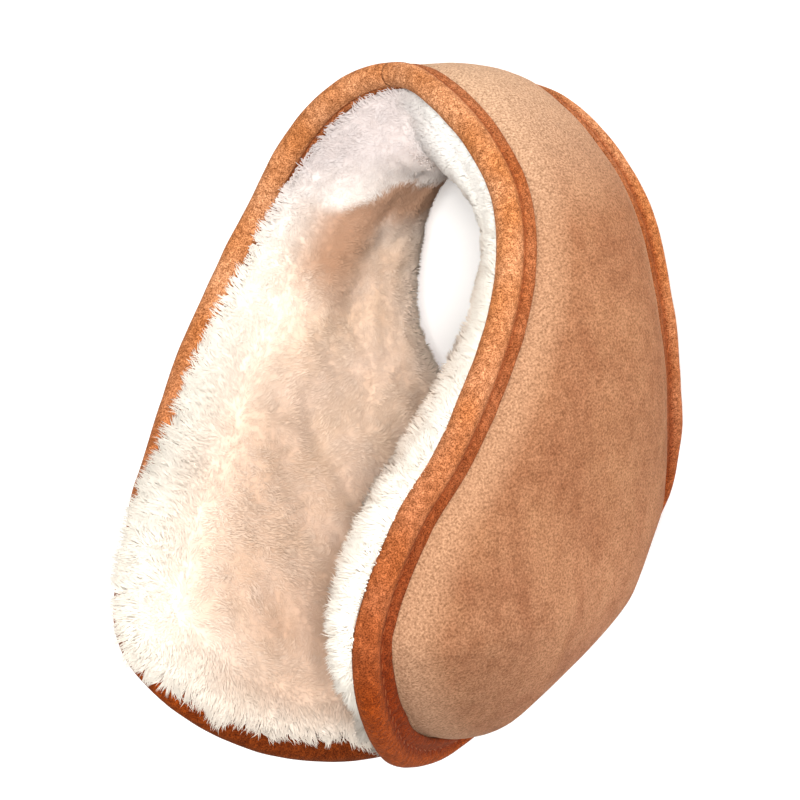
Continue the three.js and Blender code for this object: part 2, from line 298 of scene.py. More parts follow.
COARSE_EDGE = Edge(even_seam(1.0))
FLOOR = float(tilted(COARSE_EDGE.centre)[:, 2].min()) - ROLL_RADIUS + PRESSED_FLAT
BINDING_Y = np.mean([corner[1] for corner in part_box("edge_binding")])
ROLL_Y = tilted(COARSE_EDGE.centre)[:, 1]
ROLL_REACH = ROLL_RADIUS * np.hypot(tilted(COARSE_EDGE.away)[:, 1], tilted(COARSE_EDGE.out)[:, 1])
MIDDLE_Y = float((ROLL_Y - ROLL_REACH).min() + (ROLL_Y + ROLL_REACH).max()) / 2


def lay_down(points, level=0.0):
    """Bent points in mm as points of the part's frame in metres, kept above a level."""
    laid = tilted(points) - np.array([0, MIDDLE_Y, FLOOR])
    laid[:, 2] = np.maximum(laid[:, 2], level)
    return laid * MM + np.array([0, BINDING_Y, 0])


def distance_to_seam(flat):
    """Distance of flat points from the seam."""
    tree = kdtree.KDTree(len(SEAM))
    for i, (x, y) in enumerate(SEAM):
        tree.insert((x, y, 0), i)
    tree.balance()
    return np.array([tree.find((x, y, 0))[2] for x, y in flat])


def wander(points, size, seed, octaves=2):
    """Smooth noise from about -1 to 1, over blobs of a size in mm, at flat or bent points."""
    shift = Vector([seed * step for step in SEED_STEPS])
    spots = [Vector(point).to_3d() / size + shift for point in points]
    return np.array([noise.fractal(spot, 1.0, 2.0, octaves) for spot in spots])


# ---------------------------------------------------------------- mesh helpers


def strip_grid(bm, along, across):
    """A grid over the whole flat band, with finer rows round its tips. Returns its vertices
    and their flat points."""
    verts = bmesh.ops.create_grid(bm, x_segments=along, y_segments=across, size=1)["verts"]
    grid = np.array([vert.co for vert in verts])
    run = np.abs(grid[:, 0])
    straight = TIP_START / (TIP_START + (1 - TIP_START) * math.pi / 2)
    near_tip = np.clip((run - straight) / (1 - straight), 0, 1)
    tip_place = TIP_START + (1 - TIP_START) * np.sin(near_tip * math.pi / 2)
    place = np.where(run < straight, run / straight * TIP_START, tip_place)
    even = (grid[:, 1] + 1) / 2
    share = (even + (1 - np.cos(np.pi * even)) / 2) / 2
    low, high = seam_across("lower", place), seam_across("upper", place)
    across_band = low + (high - low) * share
    for vert, x, y in zip(verts, np.sign(grid[:, 0]) * place * HALF_LENGTH, across_band):
        vert.co = (x, y, 0)
    bmesh.ops.remove_doubles(bm, verts=verts, dist=TOUCHING)
    verts = [vert for vert in verts if vert.is_valid]
    return verts, np.array([vert.co.xy for vert in verts])


def number_rim(bm, verts, flat):
    """Numbers the grid's outer vertices in order round the seam, and gives the frames there."""
    station = bm.verts.layers.int["station"]
    rim = [i for i, vert in enumerate(verts) if vert.is_boundary]
    x, y = flat[rim].T
    place = np.abs(x) / HALF_LENGTH
    lower_side = y < (seam_across("lower", place) + seam_across("upper", place)) / 2 - TOUCHING
    order = np.argsort(np.where(lower_side, 2 * HALF_LENGTH - x, x))
    for number, k in enumerate(order):
        verts[rim[k]][station] = number
    return Edge(flat[rim][order])


def carry_on(bm, frames, past, height, level=0.0):
    """Carries the open edge on to a loop beside the roll, past its centre and out of the
    middle layer, and returns the loop's vertices."""
    station = bm.verts.layers.int["station"]
    points = lay_down(frames.beside(past, height), level)
    open_edges = [edge for edge in bm.edges if edge.is_boundary]
    grown = bmesh.ops.extrude_edge_only(bm, edges=open_edges)["geom"]
    verts = [part for part in grown if isinstance(part, bmesh.types.BMVert)]
    for vert in verts:
        vert.co = points[vert[station]]
    return verts


def finished(name, mesh, material):
    """A smooth-shaded object which rides with the part."""
    mesh.materials.append(material)
    mesh.shade_smooth()
    piece = bpy.data.objects.new(name, mesh)
    bpy.context.collection.objects.link(piece)
    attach(piece, "root")
    return piece


def mesh_from(name, bm):
    mesh = bpy.data.meshes.new(name)
    bm.to_mesh(mesh)
    bm.free()
    return mesh


def mesh_of_copies(name, shapes, faces):
    """One mesh of many copies: shapes holds the points of each copy, faces those of one."""
    count, corners = shapes.shape[:2]
    starts = np.arange(count)[:, None, None] * corners
    mesh = bpy.data.meshes.new(name)
    mesh.from_pydata(shapes.reshape(-1, 3), [], (faces[None] + starts).reshape(-1, 3))
    return mesh


def set_attribute(mesh, name, values):
    """A number for each vertex, which a material reads by its name."""
    attribute = mesh.attributes.new(name, "FLOAT", "POINT")
    attribute.data.foreach_set("value", np.asarray(values, np.float32))


# ---------------------------------------------------------------- materials

# A Mix node has sockets of one name for each type of data, so those for colours go by number.
SHARE, FIRST, SECOND, MIXED = 0, 6, 7, 2
BLEND = {"data_type": "RGBA"}
MULTIPLY = {"data_type": "RGBA", "blend_type": "MULTIPLY", SHARE: 1.0}

WHITE = (1, 1, 1, 1)


def linear(hex_colour):
    """An sRGB hex value as linear RGB."""
    parts = [int(hex_colour[i : i + 2], 16) / 255 for i in (1, 3, 5)]
    return tuple(c / 12.92 if c <= 0.04045 else ((c + 0.055) / 1.055) ** 2.4 for c in parts)


def rgba(colour):
    return (*colour, 1.0)


def add_node(tree, kind, inputs=()):
    """Adds a node and returns its outputs. Its inputs are values of its properties or of its
    sockets, by name or number, and an output of another node is linked."""
    node = tree.nodes.new(kind)
    for name, value in dict(inputs).items():
        if isinstance(value, bpy.types.NodeSocket):
            tree.links.new(value, node.inputs[name])
        elif hasattr(node, str(name)):
            setattr(node, name, value)
        else:
            node.inputs[name].default_value = value
    return node.outputs


def new_material(name, surface):
    """A material whose shader has these constant values. Returns it, its tree and shader."""
    material = bpy.data.materials.new(name)
    material.use_nodes = True
    tree = material.node_tree
    shader = tree.nodes["Principled BSDF"]
    for socket, value in surface.items():
        shader.inputs[socket].default_value = value
    return material, tree, shader


def graded(tree, value, span, first, second, mix=BLEND):
    """The first colour where a value is at the span's start, and the second where it is at
    its end. With MULTIPLY, it ends at the first colour times the second."""
    limits = {"From Min": span[0], "From Max": span[1], "Value": value}
    share = add_node(tree, "ShaderNodeMapRange", limits)["Result"]
    colours = {SHARE: share, FIRST: first, SECOND: second}
    return add_node(tree, "ShaderNodeMix", mix | colours)[MIXED]


# Brushed suede. Clouds 14 mm wide are left by a stroking hand and strokes of 4.5 mm by the
# brush. The real nap's grain is finer, and 0.5 mm is as coarse as it needs to show.
SUEDE_CLOUDS = {"Scale": 1 / (14 * MM), "Detail": 4, "Roughness": 0.6}
SUEDE_STROKES = {"Scale": 1 / (4.5 * MM), "Detail": 3, "Roughness": 0.6}
SUEDE_GRAIN = {"Scale": 1 / (0.5 * MM), "Detail": 2, "Roughness": 0.55}
SUEDE_STRETCH = (1, 0.55, 1)  # clouds are longer along the pads
SUEDE_NAP = 0.35 * MM  # depth of the grain
SEAM_HIGHLIGHT = (7, 2)  # mm from the seam: a painted highlight beside it, full within the second, gone past the first
TOP_HIGHLIGHT_Y = (38 * MM, 78 * MM)  # in Y: painted highlight toward the band's middle, whose top faces the light
PAD_END = (-20 * MM, -60 * MM)  # in Y: painted light and shade toward the tips, by how high in Z it lies
PAD_RISE = (55 * MM, 95 * MM)

# Tints, which a colour is multiplied by, at the start and at the end of a span
SUEDE_SMUDGES = ((0.9, 0.86, 0.83, 1), (1.05, 1.06, 1.07, 1))
SUEDE_SPECKLE = ((0.6, 0.55, 0.5, 1), (1.38, 1.42, 1.46, 1))
# Painted light low down toward the pads' tips, and painted shade high up
PAD_END_LIGHT_AND_SHADE = ((1.2, 1.24, 1.34, 1), (0.85, 0.89, 0.96, 1))


def brushed_suede(look):
    """Microfibre suede, brushed: matt, with a short nap whose grain is drawn 0.5 mm wide,
    clouded where the nap was stroked one way or the other. Its colour has a painted highlight
    beside the seams and on top of the band, and painted light and shade toward the pads' tips."""
    surface = {"Roughness": 0.95, "Specular IOR Level": 0.08, "Sheen Weight": 0.1}
    surface |= {"Sheen Roughness": 0.6, "Sheen Tint": rgba(look.suede_light)}
    material, tree, shader = new_material("brushed_suede", surface)
    place = add_node(tree, "ShaderNodeTexCoord")["Object"]
    axes = add_node(tree, "ShaderNodeSeparateXYZ", {"Vector": place})
    stretch = {"Scale": SUEDE_STRETCH, "Vector": place}
    stretched = add_node(tree, "ShaderNodeMapping", stretch)["Vector"]
    clouds = add_node(tree, "ShaderNodeTexNoise", {"Vector": stretched} | SUEDE_CLOUDS)["Fac"]
    strokes = add_node(tree, "ShaderNodeTexNoise", {"Vector": place} | SUEDE_STROKES)["Fac"]
    grain = add_node(tree, "ShaderNodeTexNoise", {"Vector": place} | SUEDE_GRAIN)["Fac"]
    from_seam = add_node(tree, "ShaderNodeAttribute", {"attribute_name": "from_seam"})["Fac"]

    dark, light = rgba(look.suede_dark), rgba(look.suede_light)
    middle = [(a + b) / 2 for a, b in zip(dark, light)]
    colour = graded(tree, clouds, (0.35, 0.65), dark, light)
    colour = graded(tree, strokes, (0.2, 1.4), colour, middle)
    smudges = graded(tree, strokes, (0.35, 0.6), *SUEDE_SMUDGES)
    colour = add_node(tree, "ShaderNodeMix", MULTIPLY | {FIRST: colour, SECOND: smudges})[MIXED]
    # Painted highlight on the suede's shoulder beside the seams
    colour = graded(tree, from_seam, SEAM_HIGHLIGHT, colour, rgba(look.suede_seam_highlight))
    # Painted highlight on top of the band, toward its middle
    colour = graded(tree, axes["Y"], TOP_HIGHLIGHT_Y, colour, rgba(look.suede_top_highlight))
    # Painted light and shade toward the pads' tips: lighter low in Z, darker high up
    tips = graded(tree, axes["Z"], PAD_RISE, *PAD_END_LIGHT_AND_SHADE)
    colour = graded(tree, axes["Y"], PAD_END, colour, tips, MULTIPLY)
    speckle = graded(tree, grain, (0.3, 0.7), *SUEDE_SPECKLE)
    colour = add_node(tree, "ShaderNodeMix", MULTIPLY | {FIRST: colour, SECOND: speckle})[MIXED]
    tree.links.new(colour, shader.inputs["Base Color"])
    nap = {"Height": grain, "Distance": SUEDE_NAP, "Strength": 0.7}
    tree.links.new(add_node(tree, "ShaderNodeBump", nap)["Normal"], shader.inputs["Normal"])
    return material


# Woven tape. Its rows of weave are 1 mm apart, and its fuzz is drawn 0.33 mm wide to show.
TAPE_WEAVE = {"Scale": 1 / (1.0 * MM), "feature": "SMOOTH_F1"}
TAPE_CLOUDS = {"Scale": 1 / (16 * MM), "Detail": 1, "Roughness": 0.5}
TAPE_GRAIN = {"Scale": 1 / (0.33 * MM), "Detail": 2, "Roughness": 0.5}
WEAVE_SLANT = {"Rotation": (0, 0, math.radians(35)), "Scale": (1, 0.55, 1)}
WEAVE_DEPTH = 0.3 * MM
TAPE_FUZZ = 0.25 * MM
TIPS_TO_BAND = (-50 * MM, 34 * MM)  # in Y: darker round the tips than along the band, partly the tape's own colour and partly painted shade
WOOL_SHADOW_Y = (-45 * MM, -66 * MM)  # in Y: painted shadow of the wool's fringe over the left pad's tip
LEFT_HALF = (2 * MM, -4 * MM)  # in X: the painted shadow is on the left half only

TAPE_SPECKLE = ((0.44, 0.36, 0.28, 1), (1.52, 1.6, 1.66, 1))
TAPE_ROWS = ((0.72, 0.66, 0.6, 1), (1.08, 1.08, 1.08, 1))
# Painted shadow of the wool over the tape
TAPE_WOOL_SHADOW = (0.52, 0.54, 0.62, 1)


def woven_tape(look, girth, length):
    """Woven microfibre tape, brushed and folded over the edge: slanting rows of its weave
    1 mm apart show through the nap. Its colour has painted shade in the stitched grooves, on
    the flanges beyond them and in part round the pads' tips, and a painted shadow of the wool
    at the left pad's tip."""
    surface = {"Roughness": 0.9, "Specular IOR Level": 0.05, "Sheen Weight": 0.1}
    surface |= {"Sheen Roughness": 0.5, "Sheen Tint": rgba(look.tape_light)}
    material, tree, shader = new_material("woven_tape", surface)
    source = add_node(tree, "ShaderNodeTexCoord")
    place = source["Object"]
    axes = add_node(tree, "ShaderNodeSeparateXYZ", {"Vector": place})
    unroll = {"Scale": (length, girth, 1), "Vector": source["UV"]}
    unrolled = add_node(tree, "ShaderNodeMapping", unroll)["Vector"]
    slanting = add_node(tree, "ShaderNodeMapping", {"Vector": unrolled} | WEAVE_SLANT)["Vector"]
    rows = add_node(tree, "ShaderNodeTexVoronoi", {"Vector": slanting} | TAPE_WEAVE)["Distance"]
    clouds = add_node(tree, "ShaderNodeTexNoise", {"Vector": place} | TAPE_CLOUDS)["Fac"]
    grain = add_node(tree, "ShaderNodeTexNoise", {"Vector": place} | TAPE_GRAIN)["Fac"]
    # The groove attribute is painted shade in the grooves and on the flanges beyond them
    groove = add_node(tree, "ShaderNodeAttribute", {"attribute_name": "groove"})["Fac"]

    band = graded(tree, clouds, (0.35, 0.65), rgba(look.tape_dark), rgba(look.tape_light))
    # Darker round the pads' tips: partly the tape's own colour, partly painted shade
    colour = graded(tree, axes["Y"], TIPS_TO_BAND, rgba(look.tape_tips), band)
    # Painted shadow of the wool's fringe on the tape at the left pad's tip
    wool_shadow = graded(tree, axes["Y"], WOOL_SHADOW_Y, WHITE, TAPE_WOOL_SHADOW)
    colour = graded(tree, axes["X"], LEFT_HALF, colour, wool_shadow, MULTIPLY)
    speckle = graded(tree, grain, (0.33, 0.67), *TAPE_SPECKLE)
    weave = graded(tree, rows, (0.6, 0.2), *TAPE_ROWS)
    for tint in (speckle, weave):
        colour = add_node(tree, "ShaderNodeMix", MULTIPLY | {FIRST: colour, SECOND: tint})[MIXED]
    # Painted shade in the grooves and on the flanges
    worn = {SHARE: groove, FIRST: colour, SECOND: rgba(look.tape_groove_shade)}
    colour = add_node(tree, "ShaderNodeMix", MULTIPLY | worn)[MIXED]
    tree.links.new(colour, shader.inputs["Base Color"])
    fuzz = {"Height": grain, "Distance": TAPE_FUZZ, "Strength": 0.6}
    fuzzy = add_node(tree, "ShaderNodeBump", fuzz)["Normal"]
    limits = {"From Min": 0.8, "From Max": 0.0, "Value": rows}
    raised = add_node(tree, "ShaderNodeMapRange", limits)["Result"]
    ridges = {"Height": raised, "Distance": WEAVE_DEPTH, "Strength": 0.7, "Normal": fuzzy}
    tree.links.new(add_node(tree, "ShaderNodeBump", ridges)["Normal"], shader.inputs["Normal"])
    return material


# Sewing thread. The real twist is finer, and is drawn as 0.3 mm blobs.
THREAD_TWIST = {"Scale": 1 / (0.3 * MM), "Detail": 2, "Roughness": 0.5}
THREAD_RELIEF = 0.1 * MM


def sewing_thread(look):
    """Twisted polyester thread: a slight gloss, and a rough surface from its twist."""
    surface = {"Roughness": 0.85, "Specular IOR Level": 0.2, "Base Color": rgba(look.thread)}
    material, tree, shader = new_material("sewing_thread", surface)
    place = add_node(tree, "ShaderNodeTexCoord")["Object"]
    twist = add_node(tree, "ShaderNodeTexNoise", {"Vector": place} | THREAD_TWIST)["Fac"]
    relief = {"Height": twist, "Distance": THREAD_RELIEF, "Strength": 0.5}
    tree.links.new(add_node(tree, "ShaderNodeBump", relief)["Normal"], shader.inputs["Normal"])
    return material


# Sheared wool. Its locks are meshes, so the material has only its colours.
WOOL_CLOUDS = {"Scale": 1 / (12 * MM), "Detail": 3, "Roughness": 0.6}
PADS_TO_BAND = (34 * MM, 58 * MM)  # in Y
BAND_TO_RIM = (-2 * MM, 14 * MM)  # in X: the band's painted shade gives way to painted light where it turns to the right pad


def sheared_wool(look):
    """Sheared wool pile: soft and matt, bright at the tips of its locks, warmer and darker
    down at their roots in painted shade. It is warmer in mid pad, partly its own cream and
    partly painted warm light from the suede, with warmer clouds 12 mm wide, and has a painted
    shade of cooler white along the middle of the band."""
    surface = {"Roughness": 1.0, "Specular IOR Level": 0.1}
    material, tree, shader = new_material("sheared_wool", surface)
    place = add_node(tree, "ShaderNodeTexCoord")["Object"]
    axes = add_node(tree, "ShaderNodeSeparateXYZ", {"Vector": place})
    tone = add_node(tree, "ShaderNodeAttribute", {"attribute_name": "tone"})["Fac"]
    warmth = add_node(tree, "ShaderNodeAttribute", {"attribute_name": "warmth"})["Fac"]
    clouds = add_node(tree, "ShaderNodeTexNoise", {"Vector": place} | WOOL_CLOUDS)["Fac"]

    # Beige in mid pad: partly the wool's own cream, partly painted warm light bounced from the
    # suede
    beige = graded(tree, clouds, (0.3, 0.7), rgba(look.wool_middle), rgba(look.wool_stain))
    warm = {SHARE: warmth, FIRST: rgba(look.wool_tip), SECOND: beige}
    pads = add_node(tree, "ShaderNodeMix", BLEND | warm)[MIXED]
    # Painted shade along the band, and painted light where it turns to the right pad
    arch = graded(tree, axes["X"], BAND_TO_RIM, rgba(look.wool_band_painted_shade), rgba(look.wool_band_painted_light))
    tips = graded(tree, axes["Y"], PADS_TO_BAND, pads, arch)
    # Painted shade: the tone attribute draws the colour toward the painted shade's
    deep = {SHARE: tone, FIRST: rgba(look.wool_painted_shade), SECOND: tips}
    colour = add_node(tree, "ShaderNodeMix", BLEND | deep)[MIXED]
    tree.links.new(colour, shader.inputs["Base Color"])
    return material


# ---------------------------------------------------------------- sizes and colours


def length_property(name, description, default):
    return FloatProperty(name=name, description=description, default=default * MM, unit="LENGTH")


def colour_property(name, description, default):
    return FloatVectorProperty(
        name=name, description=description, default=linear(default), subtype="COLOR", min=0, max=1
    )


class EarWarmerSizes(bpy.types.PropertyGroup):
    """Sizes that a maker would change."""

    dent_depth: length_property("Dent depth", "Depth of the soft dents in the suede", 0.12)
    gather_depth: length_property("Gather depth", "Depth of the gathers beside the seam", 0.22)
    groove_depth: length_property("Groove depth", "Depth of the stitched groove in the tape", 0.8)
    roll_wave: length_property("Roll unevenness", "How much the bound roll swells and thins", 0.22)
    pucker: length_property("Pucker", "How far the flanges and their seams wander", 0.3)
    stitch_pitch: length_property("Stitch pitch", "Distance from stitch to stitch", 3.0)
    stitch_length: length_property("Stitch length", "Length of thread that shows", 2.1)
    thread: length_property("Thread", "Thickness of the sewing thread", 0.36)
    clump: length_property("Clump size", "Distance between clumps of locks", 2.8)
    lock_width: length_property("Lock width", "Width of a lock at its middle", 0.3)
    locks: IntProperty(name="Locks", description="Locks of wool in each piece", default=25000)


class EarWarmerColours(bpy.types.PropertyGroup):
    """Colours of the finishes."""

    suede_light: colour_property("Suede, stroked up", "Nap that catches the light", "#926749")
    suede_dark: colour_property("Suede, stroked down", "Nap that lies away", "#7f5238")
    # Painted highlight beside the seams
    suede_seam_highlight: colour_property("Suede at seams", "Nap that stands beside the seam", "#9d7558")
    # Painted highlight on the top of the band
    suede_top_highlight: colour_property("Suede, band's middle", "Worn nap on top of the band", "#b29175")
    tape_light: colour_property("Tape", "Brushed tape along the band", "#bc845e")
    tape_dark: colour_property("Tape, shaded", "Tape where its nap lies down", "#aa6b3f")
    # Partly the tape's own darker colour and partly painted shade
    tape_tips: colour_property("Tape, pads' tips", "Darker tape round the pads' tips", "#82370e")
    # Painted shade in the grooves and on the flanges beyond them
    tape_groove_shade: colour_property("Tape, groove", "Tint of the tape in its groove", "#caa893")
    thread: colour_property("Thread", "Sewing thread", "#7e3f1c")
    wool_tip: colour_property("Wool, edges", "Tips of the wool at the pads' edges", "#f3ebde")
    # Mid-pad beige: partly the wool's own cream, partly painted warm light from the suede
    wool_middle: colour_property("Wool, mid pad", "Tips of the wool in mid pad", "#e4cbb7")
    wool_stain: colour_property("Wool, clouds", "Warmer patches of wool in mid pad", "#ddc1a8")
    # One white wool along the band, as a copy with painted shade and one with painted light
    wool_band_painted_shade: colour_property("Wool, band", "Tips of the wool along the band", "#cdc2be")
    wool_band_painted_light: colour_property("Wool, lit band", "Tips where the band turns to the light", "#fbf7f0")
    # Painted shade deep in the pile, in the fold under the band and toward the tips
    wool_painted_shade: colour_property("Wool, roots", "Wool deep in the pile", "#ab8367")
    floor: colour_property("Floor", "Plain pale floor", "#fcfcfb")


# ---------------------------------------------------------------- the suede

COVER_GRID = (240, 72)  # steps along and across
COVER_REACH = 0.92  # of the half width, over which the suede swells
DENTS_FROM = (0, 12)  # mm from the seam
GATHERS_FROM = (0, 2)
GATHERS_TO = (4, 14)


def swell(place, distance, reach=1):
    """How far the padding lifts the suede, over a share of the half width."""
    half_width = (SECTIONS.at("upper", place) + SECTIONS.at("lower", place)) / 2
    return SECTIONS.at("crown", place) * rise(distance, half_width * reach, CROWN_ROUNDNESS)


class EARWARMER_OT_suede_cover(bpy.types.Operator):
    """Stretches the suede cover over both pads, down into the fold of the binding"""

    bl_idname = "ear_warmer.suede_cover"
    bl_label = "Suede cover"

    def execute(self, context):
        sizes = context.scene.ear_warmer_sizes
        bm = bmesh.new()
        bm.verts.layers.int.new("station")
        from_seam = bm.verts.layers.float.new("from_seam")
        verts, flat = strip_grid(bm, *COVER_GRID)
        frames = number_rim(bm, verts, flat)
        distance = distance_to_seam(flat)
        place = np.abs(flat[:, 0]) / HALF_LENGTH
        dents = wander(flat, *SUEDE_DENTS) * sizes.dent_depth / MM
        dents *= smooth(distance, *DENTS_FROM)
        gathers = wander(flat, *SUEDE_GATHERS) * sizes.gather_depth / MM
        gathers *= smooth(distance, *GATHERS_FROM) * (1 - smooth(distance, *GATHERS_TO))
        height = SEAT + swell(place, distance, COVER_REACH) + dents + gathers
        for vert, point, reach in zip(verts, lay_down(bend(flat, height)), distance):
            vert.co = point
            vert[from_seam] = reach
        carry_on(bm, frames, 0, SEAT)
        bmesh.ops.reverse_faces(bm, faces=bm.faces)
        suede = brushed_suede(context.scene.ear_warmer_colours)
        piece = finished("suede_cover", mesh_from("suede_cover", bm), suede)
        wall = piece.modifiers.new("wall", "SOLIDIFY")
        wall.thickness = SUEDE_WALL * MM
        wall.offset = -1
        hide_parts("outer_shell")
        return {"FINISHED"}


# ---------------------------------------------------------------- the binding and its seams

TAPE_STEP = 1.3  # mm from station to station along the tape
EDGE_ROUNDING = 1.2  # mm over which a flange gains its full thickness

# Over the suede and over the wool, in mm from the roll's centre
GROOVE_AT = {1: 2.9, -1: 2.2}
GROOVE_WIDTH = {1: 1.4, -1: 0.9}

FLANGE_POINTS = {1: 15, -1: 12}
ROLL_POINTS = 17
FOLD_POINTS = 7
FLANGE_SHADE = 0.8  # of the groove's painted shade, painted on the flange beyond it too
ROLL_FROM = (-2, 1)  # mm from the roll's centre: only the roll swells and thins
FLANGE_FROM = (-1, -3)  # and only the flanges pucker
PUCKER_LIFT = 0.8  # of the pucker, out of the middle layer

THREAD_RISE = 0.2  # of its thickness, from the groove's bottom to the thread's middle
THREAD_SLANT = 0.25  # across the groove, for each step along it


def tape_outline(groove_depth):
    """Outline of the folded tape round the roll's centre, as rows of distance away from the
    seam, height out of the middle layer, and how much painted shade it has in a groove and
    on the flange beyond it."""
    inside = ROLL_RADIUS - TAPE_WALL
    rows = []
    for side, reach in ((1, OUTER_FLANGE), (-1, INNER_FLANGE)):
        x = np.linspace(-reach, 0, FLANGE_POINTS[side], endpoint=False)
        edge = TAPE_EDGE + (TAPE_WALL - TAPE_EDGE) * rise(x + reach, EDGE_ROUNDING, 0.5)
        deep = np.exp(-(((x + GROOVE_AT[side]) / GROOVE_WIDTH[side]) ** 2))
        beyond = smooth(-x, GROOVE_AT[side], GROOVE_AT[side] + 1)
        # Painted shade: darkest in the groove, and on the flange beyond it
        shade = np.maximum(deep, FLANGE_SHADE * beyond)
        face = np.column_stack([x, side * (inside + edge - groove_depth * deep), shade])
        rows.append(face if side > 0 else face[::-1])
    angle = np.linspace(math.pi / 2, -math.pi / 2, ROLL_POINTS)
    roll = np.column_stack([ROLL_RADIUS * np.cos(angle), ROLL_RADIUS * np.sin(angle), angle * 0])
    angle = np.linspace(-math.pi / 2, math.pi / 2, FOLD_POINTS)
    fold = np.column_stack([inside * np.cos(angle), inside * np.sin(angle), angle * 0])
    ends = [[-INNER_FLANGE, -inside, 0]], [[-OUTER_FLANGE, inside, 0]]
    return np.vstack([rows[0], roll, rows[1], ends[0], fold, ends[1]])


def puckers(frames, sizes):
    """How far the tape's flanges wander away from or toward the seam, in mm."""
    return wander(frames.centre, *FLANGE_PUCKERS) * sizes.pucker / MM


class EARWARMER_OT_edge_binding(bpy.types.Operator):
    """Folds the tape over the whole edge, with a roll outside and a stitched groove"""

    bl_idname = "ear_warmer.edge_binding"
    bl_label = "Edge binding"

    def execute(self, context):
        sizes = context.scene.ear_warmer_sizes
        frames = Edge(even_seam(TAPE_STEP))
        outline = tape_outline(sizes.groove_depth / MM)
        stations, around = len(frames.centre), len(outline)
        bm = bmesh.new()
        bm.loops.layers.uv.new("UVMap")
        bmesh.ops.create_grid(bm, x_segments=stations, y_segments=around, size=1, calc_uvs=True)
        grid = np.array([vert.co for vert in bm.verts])
        i = np.rint((grid[:, 0] + 1) / 2 * stations).astype(int) % stations
        j = np.rint((grid[:, 1] + 1) / 2 * around).astype(int) % around
        # deep: how much painted shade the tape has there
        away, out, deep = outline[j].T
        wave = wander(frames.centre, *ROLL_WAVES)[i] * sizes.roll_wave / MM
        on_roll = smooth(away, *ROLL_FROM)
        pucker = puckers(frames, sizes)[i] * smooth(away, *FLANGE_FROM)
        shape = frames.centre[i] + frames.away[i] * (away + wave * on_roll + pucker)[:, None]
        lift = np.sign(out) * np.abs(pucker) * PUCKER_LIFT
        shape += frames.out[i] * (out * (1 + wave * on_roll / ROLL_RADIUS) + lift)[:, None]
        for vert, point in zip(bm.verts, lay_down(shape)):
            vert.co = point
        # Painted shade, which the tape's colour reads
        depth = bm.verts.layers.float.new("groove")
        for vert, value in zip(bm.verts, deep):
            vert[depth] = value
        bmesh.ops.remove_doubles(bm, verts=bm.verts, dist=TOUCHING * MM)
        bmesh.ops.recalc_face_normals(bm, faces=bm.faces)
        girth = np.linalg.norm(np.diff(outline[:, :2], axis=0), axis=1).sum() * MM
        tape = woven_tape(context.scene.ear_warmer_colours, girth, stations * TAPE_STEP * MM)
        mesh = mesh_from("edge_binding_tape", bm)
        piece = finished("edge_binding_tape", mesh, tape)
        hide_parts("edge_binding")
        return {"FINISHED"}


class EARWARMER_OT_seam_stitches(bpy.types.Operator):
    """Sews the thread along both grooves of the binding"""

    bl_idname = "ear_warmer.seam_stitches"
    bl_label = "Seam stitches"

    def execute(self, context):
        sizes = context.scene.ear_warmer_sizes
        bm = bmesh.new()
        bmesh.ops.create_uvsphere(bm, u_segments=6, v_segments=5, radius=0.5)
        bmesh.ops.triangulate(bm, faces=bm.faces)
        ball = np.array([vert.co for vert in bm.verts])
        faces = np.array([[vert.index for vert in face.verts] for face in bm.faces])
        bm.free()
        frames = Edge(even_seam(sizes.stitch_pitch / MM))
        wide = sizes.thread / MM
        stitches = []
        for side in (1, -1):
            height = side * (ROLL_RADIUS - sizes.groove_depth / MM + wide * THREAD_RISE)
            middle = frames.beside(puckers(frames, sizes) - GROOVE_AT[side], height)
            slant = unit(frames.along + frames.away * THREAD_SLANT)
            across = unit(np.cross(slant, frames.out))
            shape = ball[None, :, 2:3] * (slant * sizes.stitch_length / MM)[:, None]
            shape = shape + ball[None, :, 0:1] * (across * wide)[:, None]
            shape = shape + ball[None, :, 1:2] * (frames.out * wide)[:, None]
            stitches.append(middle[:, None] + shape)
        stitches = np.vstack(stitches)
        laid = lay_down(stitches.reshape(-1, 3)).reshape(stitches.shape)
        mesh = mesh_of_copies("seam_stitches", laid, faces)
        thread = sewing_thread(context.scene.ear_warmer_colours)
        finished("seam_stitches", mesh, thread)
        return {"FINISHED"}


# ---------------------------------------------------------------- the wool

WOOL_GRID = (200, 60)  # steps along and across
LOCKS_STAND = 1.2  # mm that the locks stand out of the wool's base
WOOL_LEVEL = 0.5  # mm above the floor
WOOL_UNEVEN = 0.8  # mm, of its lumps and of its swells
WOOL_BEHIND = 0.7  # mm more than the clearance, between the wool's back and the suede

LEAST_OVERHANG = 0.3  # mm
RAGS = (0.3, 2.8)  # mm that the overhang wanders, and how much more at the pads' tips
RAGS_FROM = (0.86, 0.95)  # in place
FRINGE_CREST = 0.45  # of the fringe's thickness
FRINGE_UNDERSIDE = 0.65  # of the overhang


